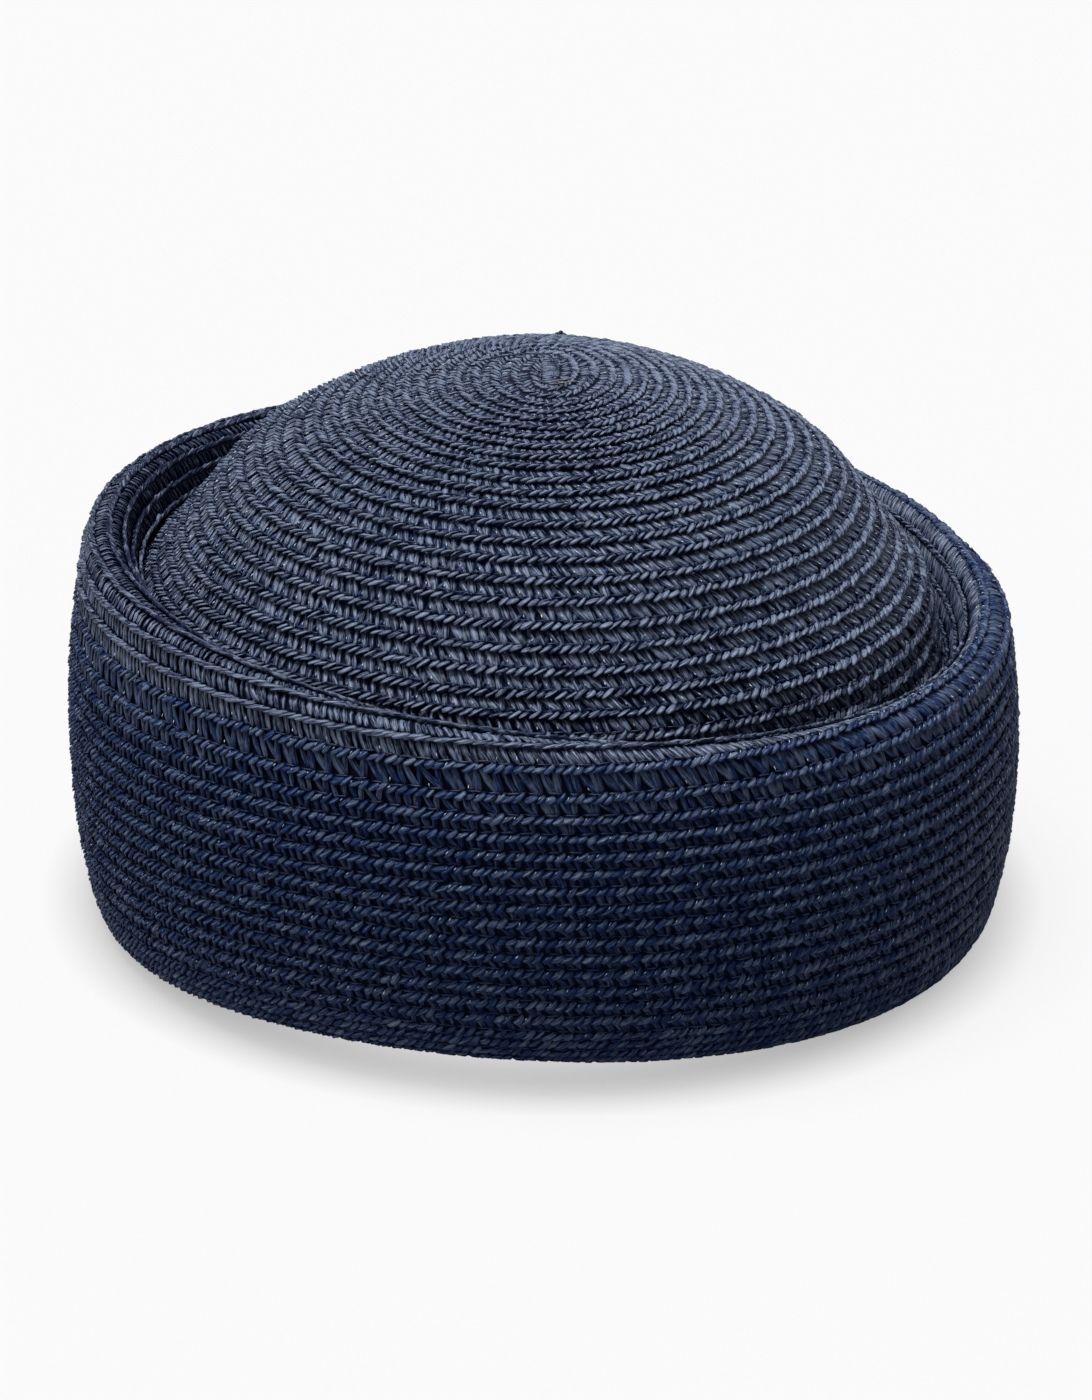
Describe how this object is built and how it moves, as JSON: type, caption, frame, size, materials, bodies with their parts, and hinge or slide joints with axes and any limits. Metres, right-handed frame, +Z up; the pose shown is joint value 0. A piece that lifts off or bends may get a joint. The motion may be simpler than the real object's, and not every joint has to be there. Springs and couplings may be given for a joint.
{
  "type": "pillbox hat",
  "caption": "Straw pillbox hat of spirally sewn braid, with a domed crown and a deep turned-up cuff whose rim is rolled over and hemmed inside.",
  "frame": {"origin": "on the floor under the middle of the hat, in the plane of the sole that it rests on", "axes": "+Z up towards the top of the crown; -Y towards the front; +X towards the wearer's left, the lower side of the rim"},
  "size_m": [0.2169, 0.2329, 0.1244],
  "materials": {
    "paper_straw": "dyed navy paper straw, softly glossy strands",
    "cuff_straw": "the same straw from its other side, a little darker"
  },
  "bodies": {
    "root": {"crown": "paper_straw", "cuff": "cuff_straw"}
  },
  "joints": []
}
